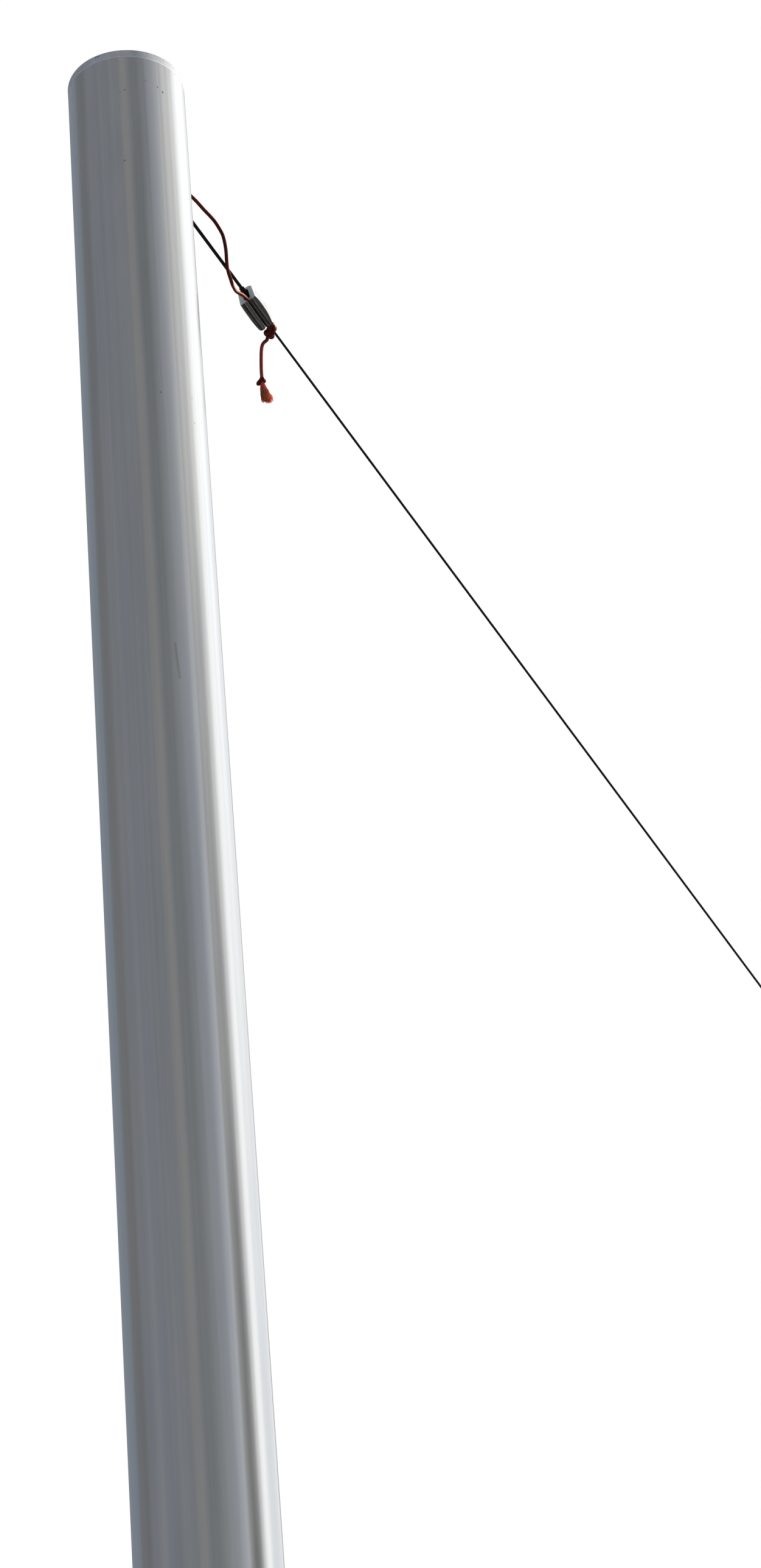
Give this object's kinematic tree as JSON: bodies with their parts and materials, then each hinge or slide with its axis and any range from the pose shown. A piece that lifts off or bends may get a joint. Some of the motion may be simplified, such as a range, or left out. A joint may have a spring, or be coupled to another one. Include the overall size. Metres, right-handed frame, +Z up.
{
  "type": "stayed flagpole",
  "caption": "Plain round metal flagpole with a flat cap and welded base flange, held by a wire stay with clamp, turnbuckle and anchor plate; a knotted red cord hangs from the stay.",
  "frame": {"origin": "middle of the base flange's flat underside, on the pole's axis, at ground level", "axes": "+Z up along the pole, +X horizontally from the pole toward the stay's anchor plate, +Y square to both"},
  "size_m": [6.0747, 0.26, 3.5],
  "materials": {
    "pole_aluminium": "satin, drawn and brushed tube",
    "cap_aluminium": "fine turned, matt",
    "base_steel": "hot-dip galvanised, dull",
    "fitting_steel": "satin stainless",
    "clamp_alloy": "cast, dull with bright worn edges",
    "wire_black": "black sheathed wire rope",
    "cord_red": "braided, weathered",
    "tassel_red": "frayed ends, paler at the tips"
  },
  "bodies": {
    "root": {"pole_tube": "pole_aluminium", "pole_cap": "cap_aluminium", "base_flange": "base_steel", "base_weld": "base_steel", "gusset_1": "base_steel", "gusset_2": "base_steel", "gusset_3": "base_steel", "gusset_4": "base_steel", "pad_saddle": "fitting_steel", "pad_lug": "fitting_steel", "pad_rivets": "fitting_steel", "stay_wire": "wire_black", "upper_ferrule": "fitting_steel", "stay_collar": "wire_black", "stay_clamp": "clamp_alloy", "lower_ferrule": "fitting_steel", "lower_thimble": "fitting_steel", "turnbuckle_eye": "fitting_steel", "upper_lock_nut": "fitting_steel", "turnbuckle_body": "fitting_steel", "lower_lock_nut": "fitting_steel", "turnbuckle_jaw": "fitting_steel", "jaw_pin": "fitting_steel", "split_pin": "fitting_steel", "anchor_lug": "base_steel", "anchor_plate": "base_steel", "cord_loop": "cord_red", "cord_run": "cord_red", "cord_hitch": "cord_red", "cord_tail": "cord_red", "tail_knot": "cord_red", "tassel": "tassel_red"}
  },
  "joints": []
}
